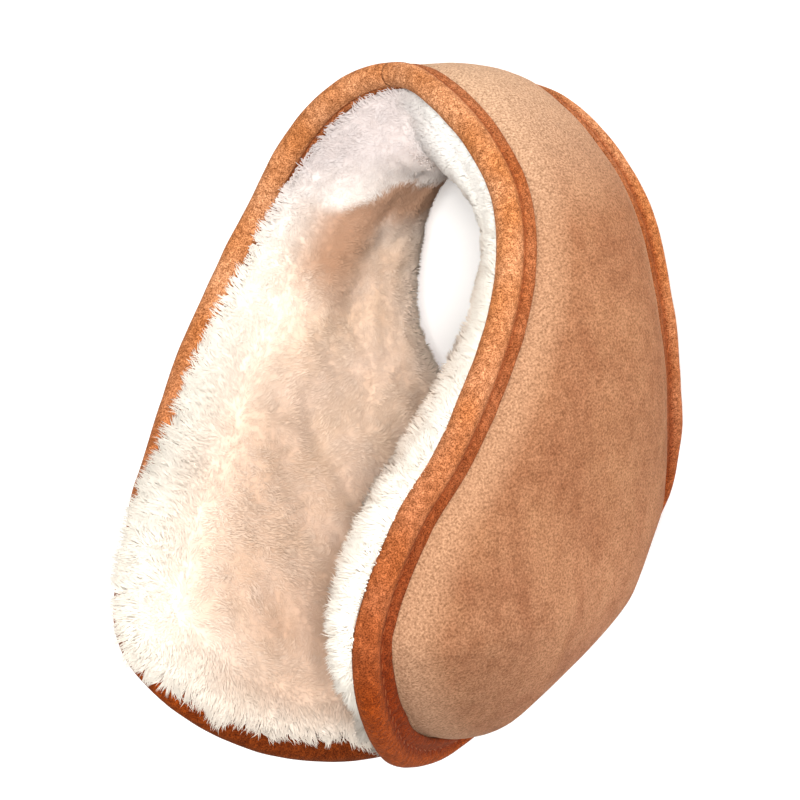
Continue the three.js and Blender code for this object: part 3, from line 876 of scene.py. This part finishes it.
class EARWARMER_OT_wool_pile(bpy.types.Operator):
    """Fills the suede with the wool's base, which bulges into the U and over the binding"""

    bl_idname = "ear_warmer.wool_pile"
    bl_label = "Wool pile"

    def execute(self, context):
        bm = bmesh.new()
        bm.verts.layers.int.new("station")
        grows = bm.verts.layers.float.new("grows")
        verts, flat = strip_grid(bm, *WOOL_GRID)
        frames = number_rim(bm, verts, flat)
        place = np.abs(flat[:, 0]) / HALF_LENGTH
        distance = distance_to_seam(flat)
        start = WOOL.at("fringe", place) + PILE_STEP
        grown = rise(distance, PILE_SHOULDER, PILE_ROUNDNESS)
        depth = start + (WOOL.at("pile", place) - start) * grown - LOCKS_STAND
        uneven = wander(flat, *WOOL_LUMPS) * WOOL_UNEVEN + wander(flat, *WOOL_SWELLS) * WOOL_UNEVEN
        depth += uneven * grown
        for vert, point in zip(verts, lay_down(bend(flat, -SEAT - depth), WOOL_LEVEL)):
            vert.co = point
            vert[grows] = 1
        over = -ROLL_RADIUS - FRINGE_UNDER
        ragged = RAGS[0] + RAGS[1] * smooth(frames.place, *RAGS_FROM)
        hangs = WOOL.at("overhang", frames.place) + wander(frames.centre, *FRINGE_RAGS) * ragged
        end = LIP + np.maximum(hangs, LEAST_OVERHANG)
        crest = over - WOOL.at("fringe", frames.place) * FRINGE_CREST
        under = LIP + (end - LIP) * FRINGE_UNDERSIDE
        fringe = (((LIP + end) / 2, crest, 1), (end, over, 1), (under, over, 1), (LIP, over, 0))
        inside = ((LIP, -SEAT, 0), (0, -SEAT, 0), (0, SEAT - SUEDE_WALL - CLEARANCE, 0))
        for past, height, growing in fringe + inside:
            for vert in carry_on(bm, frames, past, height, WOOL_LEVEL):
                vert[grows] = growing
        back, flat = strip_grid(bm, *WOOL_GRID)
        height = SEAT + swell(place, distance) - SUEDE_WALL - CLEARANCE - WOOL_BEHIND
        for vert, point in zip(back, lay_down(bend(flat, height), WOOL_LEVEL)):
            vert.co = point
        bmesh.ops.bridge_loops(bm, edges=[edge for edge in bm.edges if edge.is_boundary])
        bmesh.ops.recalc_face_normals(bm, faces=bm.faces)
        bmesh.ops.triangulate(bm, faces=bm.faces, quad_method="SHORT_EDGE")
        wool = sheared_wool(context.scene.ear_warmer_colours)
        piece = finished("wool_base", mesh_from("wool_base", bm), wool)
        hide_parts("fleece_lining")
        return {"FINISHED"}


# How the locks lie: upright, combed outwards along the edge, and swirled away from it
EDGE_BAND = (5, 20)  # mm from the edge over which the comb gives way to the swirl
OUTWARDS = (0.15, 0.95)  # how strong the comb is on the band, and how much more on the pads
OUTWARDS_FROM = (0.2, 0.55)  # in place
SWIRL = 0.55
SWIRL_SIZE = 20  # mm
SWIRL_SEEDS = (11, 12, 13)
UPRIGHT = 0.9
LAID_AT_EDGE = 0.25  # less upright along the edge
LAID_ON_ROLL = 0.9  # share of being upright that is lost where the wool faces the binding
TO_ROLL = (0, 0.3)  # cosine of its way out with the suede's: from here it faces the binding

# How light the wool is left by its painted shade: a painted shadow in the fold between the band
# and the left pad, and painted shade toward the pads' tips, high up in the pads and at the tips.
# Spans are in mm of X, Y or Z, in mm from the edge, or in place along the band.
FOLD_STARTS = (0.23, 0.255)
FOLD_ENDS = (0.3, 0.4)
FOLD_LEAN = 0.13  # how much nearer the band's middle it starts low down
FOLD_LEAN_Z = (28, 48)
FOLD_X = (-4, 2)
FOLD_SHADE = 0.95
LOW_SHADE = 0.35
LOW_Y = (-55, -20)
HIGH_SHADE = 0.22
HIGH_Z = (35, 80)
HIGH_Y = (10, 30)
SHADED_FROM = (6, 20)
TIP_SHADE = 0.18
TIP_PLACE = (0.9, 0.97)

# How beige it is: partly the wool's own cream, partly painted warm light bounced from the suede.
# Spans are in mm of Y, or from the edge.
BEIGE_FROM = (5, 28)
LOW_BEIGE = 0.8
LOW_BEIGE_FROM = (4, 10)
LOW_BEIGE_Y = (-60, -25)
WHITE_BAND_Y = (30, 48)


def warmth_at(points, from_edge):
    """How beige the wool is: white at the edges and along the band, warmer in mid pad,
    partly its own cream and partly painted warm light bounced from the suede.
    """
    y = points[:, 1] / MM
    low = LOW_BEIGE * smooth(from_edge, *LOW_BEIGE_FROM) * (1 - smooth(y, *LOW_BEIGE_Y))
    return np.maximum(smooth(from_edge, *BEIGE_FROM), low) * (1 - smooth(y, *WHITE_BAND_Y))


def painted_lightness_at(points, from_edge, place):
    """How light its painted shade leaves the wool, from 0 for the painted shade's colour to 1."""
    x, y, z = points.T / MM
    leaning = place + FOLD_LEAN * (1 - smooth(z, *FOLD_LEAN_Z))
    # Painted shadow in the fold under the band, on the left side only
    fold = FOLD_SHADE * smooth(leaning, *FOLD_STARTS) * (1 - smooth(leaning, *FOLD_ENDS))
    fold *= 1 - smooth(x, *FOLD_X)
    low = LOW_SHADE * (1 - smooth(y, *LOW_Y))
    high = HIGH_SHADE * smooth(z, *HIGH_Z) * (1 - smooth(y, *HIGH_Y))
    shade = np.maximum(np.maximum(fold, low), high) * smooth(from_edge, *SHADED_FROM)
    return 1 - shade - TIP_SHADE * smooth(place, *TIP_PLACE)


class WoolGround:
    """Where locks grow: the triangles of the wool's base that face the wearer or lie over the
    binding, and at each vertex the way that its locks lie."""

    def __init__(self, mesh):
        mesh.calc_loop_triangles()
        count = len(mesh.vertices)
        self.points, self.normals = np.empty((2, count, 3))
        mesh.vertices.foreach_get("co", self.points.ravel())
        mesh.vertices.foreach_get("normal", self.normals.ravel())
        corners = np.empty(len(mesh.loop_triangles) * 3, np.int32)
        mesh.loop_triangles.foreach_get("vertices", corners)
        # The faces' order may differ from run to run, so the triangles are put in an order of
        # their own before locks are drawn on them.
        corners = np.sort(corners.reshape(-1, 3), axis=1)
        corners = corners[np.lexsort(corners.T)]
        grows = np.empty(count, np.float32)
        mesh.attributes["grows"].data.foreach_get("value", grows)
        self.corners = corners[grows[corners].min(1) > 0.5]
        tree = kdtree.KDTree(len(COARSE_EDGE.centre))
        for i, point in enumerate(lay_down(COARSE_EDGE.centre)):
            tree.insert(point, i)
        tree.balance()
        found = [tree.find(point) for point in self.points]
        nearest = np.array([index for _, index, _ in found])
        self.from_edge = np.array([reach for _, _, reach in found]) / MM
        self.away = tilted(COARSE_EDGE.away)[nearest]
        self.place = COARSE_EDGE.place[nearest]
        flow = [wander(self.points / MM, SWIRL_SIZE, seed) for seed in SWIRL_SEEDS]
        flow = np.column_stack(flow)
        flow -= self.normals * (flow * self.normals).sum(1)[:, None]
        self.near_edge = 1 - smooth(self.from_edge, *EDGE_BAND)
        outwards = OUTWARDS[0] + OUTWARDS[1] * smooth(self.place, *OUTWARDS_FROM)
        outwards *= self.near_edge
        swirl = SWIRL * (1 - self.near_edge)
        swept = unit(flow) * swirl[:, None] + self.away * outwards[:, None]
        to_roll = (self.normals * tilted(COARSE_EDGE.out)[nearest]).sum(1)
        over_roll = smooth(to_roll, *TO_ROLL)
        upright = (UPRIGHT - LAID_AT_EDGE * self.near_edge) * (1 - LAID_ON_ROLL * over_roll)
        self.lie = unit(self.normals * upright[:, None] + swept)
        standing = self.normals * (1 - over_roll)[:, None]
        self.facing = unit(standing + self.away * self.near_edge[:, None])
        self.warmth = warmth_at(self.points, self.from_edge)
        self.painted_lightness = painted_lightness_at(self.points, self.from_edge, self.place)

    def areas(self, triangles):
        """The triangles' areas in square mm."""
        a, b, c = (self.points[triangles[:, k]] / MM for k in range(3))
        return np.linalg.norm(np.cross(b - a, c - a), axis=1) / 2

    def scatter(self, triangles, count, random):
        """Random spots on some of the triangles: reads a value of the vertices there."""
        areas = self.areas(triangles)
        chosen = triangles[random.choice(len(triangles), count, p=areas / areas.sum())]
        weights = random.dirichlet((1, 1, 1), count)
        return lambda values: np.einsum("ij,ij...->i...", weights, values[chosen])


# A lock is pointed at its root and at its tip, with three corners round its middle.
LOCK_POINTS = 5
LOCK_FACES = np.array(
    [face for k in range(3) for face in ((0, 1 + (k + 1) % 3, 1 + k), (1 + k, 1 + (k + 1) % 3, 4))]
)
LOCK_SEED = 7
LENGTHS = (0.7, 1.1)  # shares of the length
WIDTHS = (0.7, 1.3)  # shares of the width
MID_PAD_LENGTH = 0.5  # share of its length that a lock has away from the edge
ROOT_DEPTH = 0.6  # mm below the wool's base
CLUMP_SPREAD = 0.33  # how far clumps, and locks in them, stray from their way
OWN_SPREAD = 0.14
CLUMP_REACH = 1.05  # of a lock's length
CLUMP_PULL = 0.35  # the most that a lock's tip is drawn to its clump's
OWN_WAY = 0.6  # weights of the pile's lie and of the clump's way in a lock's own way
CLUMP_WAY = 0.5
BOW_AT = 0.55  # share of the length at which a lock bends over
BOW_OUT = 0.6  # how far the bend stands out of the way to the tip
BOW_LEVEL = 0.2  # mm above the lowest tips
MEAN_TONE = 0.92
EDGE_TONE = 0.05  # lighter along the edge
CLUMP_TONES = 0.06  # lighter or darker, from clump to clump and from lock to lock
LOCK_TONES = 0.05
EVEN_AT_EDGE = 0.5  # share of those differences that is lost along the edge
LIGHTER_UP = np.array([-0.15, 0, 0, 0, 0.1])  # painted shade: darker at a lock's root and lighter at its tip, at its points from root to tip
LEVEL_AT_EDGE = 0.8  # share of that rise that is lost along the edge


def locks_on(ground, triangles, count, sizes, random):
    """Locks of wool rooted on the triangles: for each, the five points of its bent spindle,
    how light each point is with its painted shade, and the way that the pile faces there."""
    at = ground.scatter(triangles, count, random)
    root = at(ground.points) / MM
    normal = unit(at(ground.normals))
    lie = unit(at(ground.lie))
    longest = WOOL.at("lock", np.clip(at(ground.place), 0, 1))
    near_edge = at(ground.near_edge)
    grown = MID_PAD_LENGTH + (1 - MID_PAD_LENGTH) * near_edge
    length = longest * grown * random.uniform(*LENGTHS, count)

    clumps = int(ground.areas(triangles).sum() / (sizes.clump / MM) ** 2)
    chosen = random.choice(count, clumps, replace=False)
    clump_way = unit(lie[chosen] + random.normal(0, CLUMP_SPREAD, (clumps, 3)))
    clump_tip = root[chosen] + clump_way * (length[chosen] * CLUMP_REACH)[:, None]
    tree = kdtree.KDTree(clumps)
    for i, point in enumerate(root[chosen]):
        tree.insert(point, i)
    tree.balance()
    mine = np.array([tree.find(point)[1] for point in root])

    stray = random.normal(0, OWN_SPREAD, (count, 3))
    own_way = unit(OWN_WAY * lie + CLUMP_WAY * clump_way[mine] + stray)
    own_tip = root + own_way * length[:, None]
    pull = random.uniform(0, CLUMP_PULL, count)[:, None]
    tip = own_tip + (clump_tip[mine] - own_tip) * pull
    tip[:, 2] = np.maximum(tip[:, 2], WOOL_LEVEL)
    bow_way = unit(normal + lie) * BOW_OUT + unit(tip - root) * (1 - BOW_OUT)
    bow = root + bow_way * (length * BOW_AT)[:, None]
    bow[:, 2] = np.maximum(bow[:, 2], WOOL_LEVEL + BOW_LEVEL)
    root = root - normal * ROOT_DEPTH

    axis = unit(tip - root)
    side = unit(np.cross(axis, random.normal(0, 1, (count, 3))))
    other = np.cross(axis, side)
    width = sizes.lock_width / MM / 2 * random.uniform(*WIDTHS, count)
    shape = [root]
    for k in range(3):
        angle = math.tau * k / 3
        shape.append(bow + (side * math.cos(angle) + other * math.sin(angle)) * width[:, None])
    shape.append(tip)

    uneven = random.uniform(-CLUMP_TONES, CLUMP_TONES, clumps)[mine]
    uneven += random.uniform(-LOCK_TONES, LOCK_TONES, count)
    tone = MEAN_TONE + EDGE_TONE * near_edge + uneven * (1 - EVEN_AT_EDGE * near_edge)
    from_root = 1 + (1 - LEVEL_AT_EDGE * near_edge)[:, None] * LIGHTER_UP
    # Each lock's tone times the painted lightness of its ground
    tones = (tone * at(ground.painted_lightness))[:, None] * from_root
    return np.stack(shape, 1), tones, unit(at(ground.facing)), at(ground.warmth)


def outward(shape):
    """The ways out of each lock's middle, at each of its points."""
    axis = shape[:, 4] - shape[:, 0]
    middle = shape[:, 1:4].mean(1, keepdims=True)
    ways = shape - middle
    ways[:, 0] = -axis
    ways[:, 4] = axis
    return ways / np.linalg.norm(ways, axis=2, keepdims=True)


EDGE_WIDTH = 11  # mm from the edge: edge_locks grow nearer it than this
BAND_FROM = 22  # mm in Y: band_locks grow above this
BASE_TONE = (0.95, 0.04)  # of the wool's base in mid pad, and how much lighter at the edge
ROUNDED = 0.2  # share of a lock's own roundness in its shading


class EARWARMER_OT_wool_locks(bpy.types.Operator):
    """Grows the locks of the pile, and those that hang over the binding"""

    bl_idname = "ear_warmer.wool_locks"
    bl_label = "Wool locks"

    def execute(self, context):
        sizes = context.scene.ear_warmer_sizes
        random = np.random.default_rng(LOCK_SEED)
        base = bpy.data.objects["wool_base"].data
        ground = WoolGround(base)
        # warmth: partly the wool's own cream, partly painted warm light
        set_attribute(base, "warmth", ground.warmth)
        tone = BASE_TONE[0] + BASE_TONE[1] * ground.near_edge
        # The tone attribute carries the painted shade along with the tone
        set_attribute(base, "tone", ground.painted_lightness * tone)
        corners = ground.corners
        middle = ground.points[corners].mean(1) / MM
        on_edge = ground.from_edge[corners].mean(1) < EDGE_WIDTH
        on_band = (middle[:, 1] > BAND_FROM) & ~on_edge
        parts = {
            "left_pad_locks": ~on_edge & ~on_band & (middle[:, 0] < 0),
            "right_pad_locks": ~on_edge & ~on_band & (middle[:, 0] > 0),
            "band_locks": on_band,
            "left_edge_locks": on_edge & (middle[:, 0] < 0),
            "right_edge_locks": on_edge & (middle[:, 0] > 0),
        }
        material = base.materials[0]
        for name, chosen in parts.items():
            shape, tones, facing, warmth = locks_on(
                ground, corners[chosen], sizes.locks, sizes, random
            )
            mesh = mesh_of_copies(name, shape * MM, LOCK_FACES)
            # The tone attribute carries the painted shade along with the tone
            set_attribute(mesh, "tone", np.clip(tones, 0, 1).ravel())
            set_attribute(mesh, "warmth", np.repeat(warmth, LOCK_POINTS))
            finished(name, mesh, material)
            soft = np.repeat(facing, LOCK_POINTS, 0) + ROUNDED * outward(shape).reshape(-1, 3)
            mesh.normals_split_custom_set_from_vertices(unit(soft))
        return {"FINISHED"}


# ---------------------------------------------------------------- stage

FLOOR_GLOW = 0.1  # of the light table that the floor is
FLOOR_REACH = 6  # metres from its middle to its sides
SKY = 0.62  # strength of the light from all round

# Name, way from the part's middle, distance and size in m, and power in W. A light with no
# way of its own stands where the camera does.
LIGHTS = (
    ("key_light", (0.4, 0.62, 0.85), 1.5, 1.4, 9),
    ("fill_light", None, 1.6, 0.4, 32),
)

CAMERA_TURN = 41.8  # degrees that the camera stands round towards the right pad
CAMERA_DROP = 0.9  # degrees that it stands towards the pad tips
CAMERA_DISTANCE = 0.9476  # m
CAMERA_LENS = 179.0  # mm
AIM_FROM_MIDDLE = Vector((-0.0093, -0.0002, -0.0148))  # from the middle of the part's box


class EARWARMER_OT_stage(bpy.types.Operator):
    """Sets the pale floor, the soft studio light and the camera"""

    bl_idname = "ear_warmer.stage"
    bl_label = "Stage"

    def execute(self, context):
        scene = context.scene
        middle = (Vector(CAD_BOX[0]) + Vector(CAD_BOX[1])) / 2
        bm = bmesh.new()
        bmesh.ops.create_grid(bm, x_segments=1, y_segments=1, size=FLOOR_REACH)
        surface = {"Base Color": rgba(scene.ear_warmer_colours.floor), "Roughness": 0.9}
        surface |= {"Emission Color": WHITE, "Emission Strength": FLOOR_GLOW}
        mesh = mesh_from("floor", bm)
        mesh.materials.append(new_material("pale_floor", surface)[0])
        floor = bpy.data.objects.new("floor", mesh)
        context.collection.objects.link(floor)

        upright = Matrix.Rotation(math.radians(REST_TILT), 3, "X")
        turned = Matrix.Rotation(math.radians(CAMERA_TURN), 3, "Y")
        dropped = Matrix.Rotation(math.radians(CAMERA_DROP), 3, "X")
        facing = upright @ turned @ dropped
        aim = middle + AIM_FROM_MIDDLE
        camera = bpy.data.objects.new("camera", bpy.data.cameras.new("camera"))
        camera.data.lens = CAMERA_LENS
        place = aim + facing @ Vector((0, 0, CAMERA_DISTANCE))
        camera.matrix_world = Matrix.Translation(place) @ facing.to_4x4()
        context.collection.objects.link(camera)
        scene.camera = camera

        for name, way, distance, size, power in LIGHTS:
            light = bpy.data.objects.new(name, bpy.data.lights.new(name, "AREA"))
            light.data.size = size
            light.data.energy = power
            toward = Vector(way).normalized() if way else facing.col[2]
            light.location = middle + toward * distance
            light.rotation_euler = toward.to_track_quat("Z", "Y").to_euler()
            context.collection.objects.link(light)

        world = bpy.data.worlds.new("studio")
        world.use_nodes = True
        sky = world.node_tree.nodes["Background"]
        sky.inputs["Color"].default_value = WHITE
        sky.inputs["Strength"].default_value = SKY
        scene.world = world
        scene.view_settings.view_transform = "Standard"
        return {"FINISHED"}


# ---------------------------------------------------------------- panel and script

OPERATORS = (
    EARWARMER_OT_suede_cover,
    EARWARMER_OT_edge_binding,
    EARWARMER_OT_seam_stitches,
    EARWARMER_OT_wool_pile,
    EARWARMER_OT_wool_locks,
    EARWARMER_OT_stage,
)


class EARWARMER_PT_panel(bpy.types.Panel):
    """Lists the sizes, the colours and the steps in order"""

    bl_idname = "EARWARMER_PT_panel"
    bl_label = "Ear warmers"
    bl_space_type = "VIEW_3D"
    bl_region_type = "UI"
    bl_category = "Ear warmers"

    def draw(self, context):
        for group in (context.scene.ear_warmer_sizes, context.scene.ear_warmer_colours):
            for name in group.bl_rna.properties.keys():
                if name not in ("rna_type", "name"):
                    self.layout.prop(group, name)
        for operator in OPERATORS:
            self.layout.operator(operator.bl_idname)


CLASSES = (EarWarmerSizes, EarWarmerColours, *OPERATORS, EARWARMER_PT_panel)


def register():
    for cls in CLASSES:
        bpy.utils.register_class(cls)
    bpy.types.Scene.ear_warmer_sizes = PointerProperty(type=EarWarmerSizes)
    bpy.types.Scene.ear_warmer_colours = PointerProperty(type=EarWarmerColours)


def unregister():
    del bpy.types.Scene.ear_warmer_colours
    del bpy.types.Scene.ear_warmer_sizes
    for cls in reversed(CLASSES):
        bpy.utils.unregister_class(cls)


def main():
    register()
    bpy.ops.ear_warmer.suede_cover()
    bpy.ops.ear_warmer.edge_binding()
    bpy.ops.ear_warmer.seam_stitches()
    bpy.ops.ear_warmer.wool_pile()
    bpy.ops.ear_warmer.wool_locks()
    bpy.ops.ear_warmer.stage()


if __name__ == "__main__":
    main()
